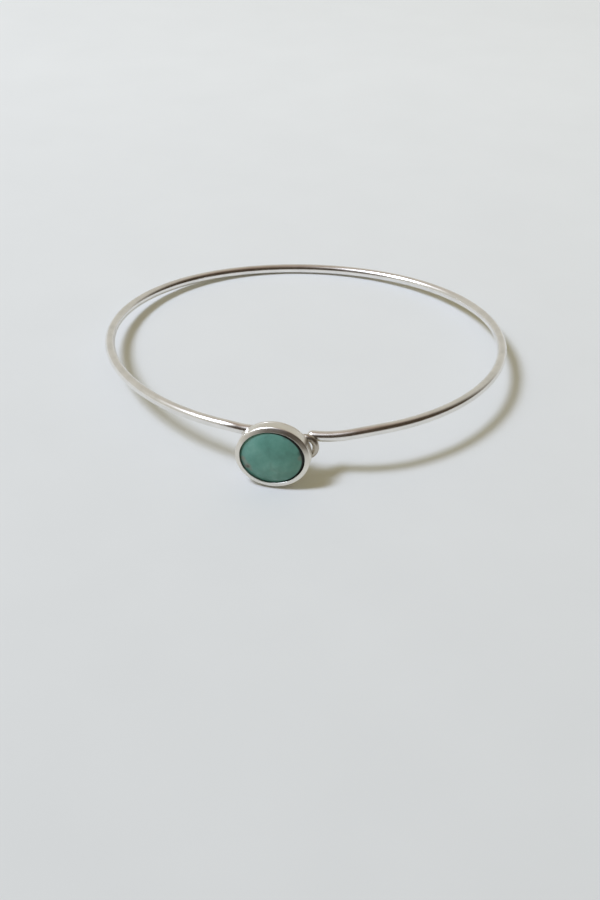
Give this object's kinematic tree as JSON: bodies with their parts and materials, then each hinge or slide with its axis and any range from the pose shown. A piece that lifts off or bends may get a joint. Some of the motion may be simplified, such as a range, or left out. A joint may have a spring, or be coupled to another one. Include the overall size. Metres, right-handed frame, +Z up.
{
  "type": "bangle bracelet",
  "caption": "Round wire bangle with an oval turquoise in a plain bezel setting at the front and a hook that catches on a peg behind it.",
  "frame": {"origin": "under the middle of the bangle, on the surface that it lies on", "axes": "+Z up, -Y towards the face of the stone, +X to the right of someone who faces the stone"},
  "size_m": [0.0678, 0.068, 0.0099],
  "materials": {
    "wire": "satin polished silver",
    "clasp": "satin polished silver",
    "setting": "polished silver",
    "bedding": "matte",
    "turquoise": "polished"
  },
  "bodies": {
    "setting_side": {"left_arm": "wire", "back_plate": "setting", "bezel_wall": "setting", "bedding": "bedding", "stone": "turquoise", "catch_peg": "clasp"},
    "clasp_side": {"right_arm": "wire", "clasp_hook": "clasp"}
  },
  "joints": [
    {"name": "wire_flex", "type": "hinge", "parent": "setting_side", "child": "clasp_side", "pos_m": [0, 0.03322, 0.00082], "axis": [-0.9681, 0.0271, 0.2489], "range_deg": [0, 25], "stiffness_Nm_per_rad": 0.05}
  ]
}
